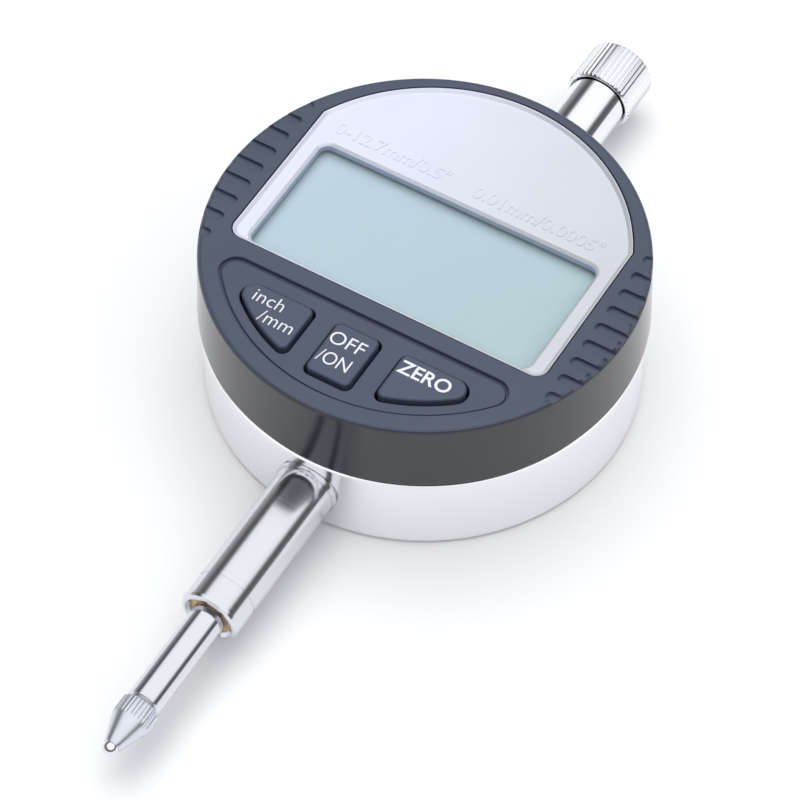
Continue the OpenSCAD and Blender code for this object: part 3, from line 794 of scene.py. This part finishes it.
# %% Panel and window
def liquid_crystal():
    """Pale blue-green that drifts from the upper left corner to the lower right one."""
    mat, tree, shader = new_finish("liquid_crystal", (0.50, 0.66, 0.78), 0.42, Coat_Weight=0.4,
                                   Coat_Roughness=0.12)
    where = add(tree, "ShaderNodeTexCoord").outputs["Object"]
    across = add(tree, "ShaderNodeVectorMath", operation="DOT_PRODUCT")
    across.inputs[1].default_value = (18.0, -12.0, 0)
    tree.links.new(where, across.inputs[0])
    drift = add(tree, "ShaderNodeMath", operation="ADD")
    drift.inputs[1].default_value = 0.5
    tree.links.new(across.outputs["Value"], drift.inputs[0])
    shade = tint(tree, drift.outputs["Value"], (0.405, 0.53, 0.62), (0.34, 0.485, 0.50))
    tree.links.new(shade, shader.inputs["Base Color"])
    fine = relief(tree, grain(tree, where, 7000, 2), 0.000004, 0.3)
    tree.links.new(fine, shader.inputs["Normal"])
    return mat


def clear_window():
    """A nearly invisible film with a little gloss."""
    mat, tree, shader = new_finish("clear_window", (0.9, 0.95, 0.97), 0.05, Alpha=0.06,
                                   Specular_IOR_Level=0.5)
    smear = spread(tree, grain(tree, place_of(tree), 80, 3), 0.03, 0.09)
    tree.links.new(smear, shader.inputs["Roughness"])
    return mat


set_finish("lcd_panel", liquid_crystal())
set_finish("window_lens", clear_window())
print("display ready")


# %% [markdown]
# ## The back and the screws
# The back is a flat cover that was faced on a lathe, which leaves rings round its middle. The
# battery lid has rings round its own middle, so the finish takes a centre. Rings are a noise
# that reads one number only: the distance from that centre.

# %% Faced covers and screws
def faced_metal(name, base, rough, centre=(0, 0)):
    """Metal with turned rings round a centre, in millimetres."""
    mat, tree, shader = new_finish(name, base, rough, 1.0)
    flat = place_of(tree, (1, 1, 0), move=(-centre[0] * MM, -centre[1] * MM, 0))
    reach = add(tree, "ShaderNodeVectorMath", operation="LENGTH")
    tree.links.new(flat, reach.inputs[0])
    noise = add(tree, "ShaderNodeTexNoise", noise_dimensions="1D", Scale=7000.0, Detail=3.0)
    tree.links.new(reach.outputs["Value"], noise.inputs["W"])
    rings = noise.outputs["Fac"]
    tree.links.new(spread(tree, rings, rough * 0.7, rough * 1.35), shader.inputs["Roughness"])
    tree.links.new(tint(tree, rings, scaled(base, 0.86), base), shader.inputs["Base Color"])
    tree.links.new(relief(tree, rings, 0.000005, 0.35), shader.inputs["Normal"])
    return mat


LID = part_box("battery_cover")
LID_CENTRE = [(a + b) / 2 / MM for a, b in zip(LID[0], LID[1])][:2]
set_finish("back_cover", faced_metal("faced_back_steel", (0.60, 0.61, 0.63), 0.30))
set_finish("battery_cover", faced_metal("faced_lid_steel", (0.66, 0.67, 0.69), 0.24, LID_CENTRE))
SCREW_STEEL = ground_steel("screw_steel_bright", (0.52, 0.53, 0.56), 0.26, (120, 120, 9000))
for node in ("back_cover_screws", "guide_rail_screws", "sensor_board_screws", "display_board_screws",
             "carriage_set_screw"):
    set_finish(node, SCREW_STEEL)
print("lid centred at", [round(v, 2) for v in LID_CENTRE])


# %% [markdown]
# ## The works inside
# Nobody sees these until the instrument is opened, yet they are what is shown when the back is
# off, so they get finishes as well. Moulded rubber is matt and dusty, milled metal has fine
# straight lines, and a circuit board shows its copper tracks as lighter lines under green lacquer.

# %% Rubber, moulded plastic and milled metal
def matt_moulding(name, base, rough, size=1800):
    """Rubber or plastic with a fine grain and a breath of dust."""
    mat, tree, shader = new_finish(name, base, rough, Specular_IOR_Level=0.4)
    where = place_of(tree)
    dust = grain(tree, where, 300, 4)
    tree.links.new(tint(tree, dust, scaled(base, 0.85), scaled(base, 1.12)), shader.inputs["Base Color"])
    tree.links.new(spread(tree, dust, rough - 0.06, rough + 0.08), shader.inputs["Roughness"])
    tree.links.new(relief(tree, grain(tree, where, size, 3), 0.00001, 0.5), shader.inputs["Normal"])
    return mat


def milled_metal(name, base, rough):
    """Fine straight lines left by a cutter."""
    return lined_metal(name, base, rough, (6000, 90, 900), 0.85, 1.3, 0.000004, 0.3)


SEAL_RUBBER = matt_moulding("seal_rubber_black", (0.020, 0.020, 0.022), 0.62)
DOME_RUBBER = matt_moulding("dome_silicone", (0.42, 0.42, 0.40), 0.55, 900)
INNER_PLASTIC = matt_moulding("inner_black_plastic", (0.030, 0.030, 0.033), 0.45)
FRAME_WHITE = matt_moulding("frame_white_plastic", (0.66, 0.66, 0.63), 0.48)
CHIP_BLACK = matt_moulding("chip_epoxy", (0.016, 0.016, 0.018), 0.50, 3500)
RAIL_BRASS = milled_metal("rail_brass_milled", (0.66, 0.50, 0.24), 0.28)
CARRIAGE_ALLOY = milled_metal("carriage_alloy_milled", (0.62, 0.62, 0.61), 0.34)
PLAIN_STEEL = ground_steel("small_part_steel", (0.60, 0.61, 0.63), 0.22)
SPRING_STEEL = ground_steel("drawn_spring_wire", (0.46, 0.47, 0.49), 0.30)
BATTERY_CAN = faced_metal("battery_nickel", (0.68, 0.68, 0.66), 0.22, LID_CENTRE)
CONTACT_STRIP = milled_metal("sprung_contact_strip", (0.74, 0.62, 0.36), 0.24)
INNER_PARTS = {"case_gasket": SEAL_RUBBER, "spindle_bumper": SEAL_RUBBER, "battery_holder": INNER_PLASTIC,
               "lcd_frame": FRAME_WHITE, "sensor_chip": CHIP_BLACK, "display_chip": CHIP_BLACK,
               "guide_rail": RAIL_BRASS, "spindle_carriage": CARRIAGE_ALLOY, "swivel_ring": SPRING_STEEL,
               "spring_post": PLAIN_STEEL, "guide_pin": PLAIN_STEEL, "battery": BATTERY_CAN,
               "battery_contact_plus": CONTACT_STRIP, "battery_contact_minus": CONTACT_STRIP}
for node, mat in INNER_PARTS.items():
    set_finish(node, mat)
print("rubber, plastic and milled metal ready, on", len(INNER_PARTS), "parts")


# %% [markdown]
# The measuring scale, the flat cable and the rubber connector all carry even stripes, so one
# finish with two colours, a pitch and a direction serves all three. The tracks on the boards are
# the edges of a cell pattern.

# %% Boards, scale, flat cable and rubber connector
WAVES_PER_UNIT = 20 / math.tau


def striped(name, one, two, rough, pitch, along):
    """Even stripes across one axis, such as printed tracks; the pitch is in millimetres."""
    mat, tree, shader = new_finish(name, one, rough)
    where = place_of(tree)
    bands = add(tree, "ShaderNodeTexWave", wave_type="BANDS", bands_direction=along,
                Scale=1 / (WAVES_PER_UNIT * pitch * MM))
    tree.links.new(where, bands.inputs["Vector"])
    edge = spread(tree, bands.outputs["Fac"], 0, 1, 0.44, 0.56)
    tree.links.new(tint(tree, edge, one, two), shader.inputs["Base Color"])
    dull = spread(tree, grain(tree, where, 400, 3), rough - 0.05, rough + 0.08)
    tree.links.new(dull, shader.inputs["Roughness"])
    tree.links.new(relief(tree, edge, 0.00002, 0.4), shader.inputs["Normal"])
    return mat


def lacquered_board():
    """Green lacquer over copper tracks."""
    mat, tree, shader = new_finish("board_green_lacquer", (0.02, 0.13, 0.05), 0.32, Coat_Weight=0.5,
                                   Coat_Roughness=0.1)
    where = place_of(tree)
    cells = add(tree, "ShaderNodeTexVoronoi", feature="DISTANCE_TO_EDGE", distance="MANHATTAN",
                Scale=420.0)
    tree.links.new(where, cells.inputs["Vector"])
    tracks = spread(tree, cells.outputs["Distance"], 1, 0, 0.10, 0.16)
    shade = tint(tree, tracks, (0.015, 0.10, 0.035), (0.05, 0.22, 0.09))
    tree.links.new(shade, shader.inputs["Base Color"])
    tree.links.new(spread(tree, grain(tree, where, 250, 3), 0.27, 0.40), shader.inputs["Roughness"])
    tree.links.new(relief(tree, tracks, 0.00003, 0.5), shader.inputs["Normal"])
    return mat


BOARD_GREEN = lacquered_board()
set_finish("sensor_board", BOARD_GREEN)
set_finish("display_board", BOARD_GREEN)
for node, name, one, two, rough, pitch, along in (
        ("scale_strip", "scale_copper_bars", (0.72, 0.44, 0.26), (0.10, 0.13, 0.06), 0.3, 0.5, "Y"),
        ("ribbon_cable", "flex_film_tracks", (0.42, 0.18, 0.04), (0.60, 0.30, 0.08), 0.3, 0.4, "Z"),
        ("zebra_strip", "zebra_rubber_bars", (0.50, 0.20, 0.22), (0.05, 0.03, 0.03), 0.55, 0.6, "X")):
    set_finish(node, striped(name, one, two, rough, pitch, along))
print("boards and strips ready")


# %% [markdown]
# ## The key springs and the return spring
# Two kinds of part change shape when something moves. Under each key sits a small silicone dome
# that gives way when the key is pressed; we turn our own dome for each key and set it on the head.
# The return spring is hooked to a post of the case and to the arm of the spindle; we draw its
# coils in the box of the part.

# %% Silicone domes
DOME_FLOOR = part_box("dome_on_off")[0][2] / MM
DOME_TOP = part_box("dome_on_off")[1][2] / MM
for node in KEY_NAMES.values():
    part = node.replace("key_", "dome_")
    low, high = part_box(part)
    dome = spun(part + "_soft", (
        [(CENTRE, DOME_TOP - 0.45), (0.85, DOME_TOP - 0.45), (1.15, DOME_FLOOR + 0.5), (1.15, DOME_FLOOR),
         (2.3, DOME_FLOOR), (2.3, DOME_FLOOR + 0.3), (1.95, DOME_FLOOR + 0.5)]
        + bow(1.15, DOME_TOP - 0.25, 0.25, 0, 90, 4) + [(CENTRE, DOME_TOP)]), "Z", 40)
    pick(dome)
    dome.location = ((low[0] + high[0]) / 2, (low[1] + high[1]) / 2, 0)
    bpy.ops.object.transform_apply(location=True)
    dress(dome, DOME_RUBBER, "display_head", part)
    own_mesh(dome)

# %% [markdown]
# The coils are one long curve with a round cross section, turned into a mesh at the end. The
# curve keeps half a wire's thickness inside the box of the part on every side.

# %% Return spring
low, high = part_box("return_spring")
WIRE_R, SPRING_TURNS, TURN_STEPS = 0.2 * MM, 14, 20
SPRING_X = (low[0] + high[0]) / 2
SPRING_R = (high[0] - low[0]) / 2 - WIRE_R
wire_line = bpy.data.curves.new("return_spring_line", "CURVE")
wire_line.dimensions, wire_line.bevel_depth, wire_line.bevel_resolution = "3D", WIRE_R, 2
wire_line.use_fill_caps = True
coil_path = wire_line.splines.new("POLY")
steps = SPRING_TURNS * TURN_STEPS
coil_path.points.add(steps)
for i, point in enumerate(coil_path.points):
    a = math.tau * i / TURN_STEPS
    y = low[1] + WIRE_R + (high[1] - low[1] - 2 * WIRE_R) * i / steps
    point.co = (SPRING_X + SPRING_R * math.cos(a), y, AXIS_Z + SPRING_R * math.sin(a), 1)
spring = bpy.data.objects.new("return_spring_wire", wire_line)
bpy.context.scene.collection.objects.link(spring)
pick(spring)
bpy.ops.object.convert(target="MESH")
bpy.ops.object.shade_smooth_by_angle(angle=math.radians(50))
spring = bpy.context.object
spring.data.materials.clear()
spring.data.materials.append(SPRING_STEEL)
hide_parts("return_spring")
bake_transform(spring)
print("spring:", SPRING_TURNS, "turns,", len(spring.data.polygons), "faces")


# %% [markdown]
# ## The studio
# Bright metal shows nothing but its surroundings, so the surroundings are what we design. A
# tilted white canopy overhead gives the wide white band along the stem, the dim walls between
# the canopy and the floor give the two dark stripes beside it, and the pale floor lights the
# undersides. The canopy is part of the sky: the height above a tilted horizon is worked out
# from the direction, and a colour ramp turns it into dim wall, edge and canopy.

# %% Floor and sky
fresh()
bpy.ops.mesh.primitive_plane_add(size=6, location=(0, 0, 0))
floor = settle("studio_floor")
floor.location.z = -0.0002
floor_mat, floor_tree, floor_shader = new_finish("studio_floor", (0.92, 0.92, 0.93), 0.8,
                                                 Specular_IOR_Level=0.2)
mottle = grain(floor_tree, place_of(floor_tree), 3, 2)
floor_tree.links.new(tint(floor_tree, mottle, (0.91, 0.91, 0.92), (0.93, 0.93, 0.94)),
                     floor_shader.inputs["Base Color"])
floor.data.materials.append(floor_mat)

# Each stop of the sky is a height above the tilted horizon and how bright the sky is there.
LOWEST, HIGHEST = -0.2, 1.0
SKY = [(LOWEST, 0.60), (0.0, 0.42), (0.2, 0.22), (0.32, 0.12), (0.46, 0.13), (0.53, 0.40),
       (0.60, 1.05), (0.75, 1.2)]
world = bpy.data.worlds.new("studio_sky")
bpy.context.scene.world = world
world.use_nodes = True
sky = world.node_tree
sky_where = add(sky, "ShaderNodeTexCoord")
sky_height = add(sky, "ShaderNodeVectorMath", operation="DOT_PRODUCT")
sky_height.inputs[1].default_value = (0.191, 0.0, 0.982)
sky.links.new(sky_where.outputs["Generated"], sky_height.inputs[0])
sky_band = add(sky, "ShaderNodeValToRGB")
sky_stops = sky_band.color_ramp.elements
for number, (height, light) in enumerate(SKY):
    place = (height - LOWEST) / (HIGHEST - LOWEST)
    if number == 0:
        stop = sky_stops[0]
    elif number == len(SKY) - 1:
        stop = sky_stops[-1]
    else:
        stop = sky_stops.new(place)
    stop.position = place
    stop.color = (light * 0.98, light * 0.99, light * 1.02, 1)
sky.links.new(spread(sky, sky_height.outputs["Value"], 0, 1, LOWEST, HIGHEST), sky_band.inputs["Fac"])
sky.links.new(sky_band.outputs["Color"], sky.nodes["Background"].inputs["Color"])
sky.nodes["Background"].inputs["Strength"].default_value = 1.0


# %% [markdown]
# One lamp lifts the floor to a clean white. It is hidden from reflections, so the metal keeps the
# canopy's soft edges and shows no second, smaller lamp.

# %% Lamp
def softbox(name, place, aim, width, height, power):
    """A large rectangular lamp pointed at a spot, unseen in reflections."""
    lamp = bpy.data.lights.new(name, "AREA")
    lamp.shape, lamp.size, lamp.size_y, lamp.energy = "RECTANGLE", width, height, power
    holder = bpy.data.objects.new(name, lamp)
    bpy.context.scene.collection.objects.link(holder)
    holder.location = place
    holder.rotation_euler = (Vector(aim) - Vector(place)).to_track_quat("-Z", "Y").to_euler()
    holder.visible_glossy = False


softbox("lamp_overhead", (-0.12, 0.12, 0.8), (0, 0, 0), 0.7, 0.7, 2.8)
print("studio ready")

# %% [markdown]
# ## The camera
# A long lens from the right front, looking down at about fifty degrees: near enough to show a
# little perspective along the spindle, far enough to keep the round case round.

# %% Camera
def place_camera(azimuth, elevation, roll, distance, aim, lens):
    """A camera that looks at a spot from a distance; the angles are in degrees."""
    a, e, r = (math.radians(v) for v in (azimuth, elevation, roll))
    back = Vector((math.sin(a) * math.cos(e), -math.cos(a) * math.cos(e), math.sin(e)))
    right = (-back).cross(Vector((0, 0, 1))).normalized()
    up = right.cross(-back)
    side, top = right * math.cos(r) + up * math.sin(r), up * math.cos(r) - right * math.sin(r)
    camera = bpy.data.objects.new("camera", bpy.data.cameras.new("camera"))
    bpy.context.scene.collection.objects.link(camera)
    turn = Matrix((side, top, back)).transposed().to_4x4()
    camera.matrix_world = Matrix.Translation(Vector(aim) + back * distance) @ turn
    camera.data.lens, camera.data.sensor_width = lens, 36
    bpy.context.scene.camera = camera
    return camera


camera = place_camera(30.7, 53.43, 0.28, 0.4431, (0.009431, -0.021777, HEAD_TOP), 166.0)
bpy.context.scene.view_settings.view_transform = "Standard"
print("camera at", [round(v, 4) for v in camera.location])
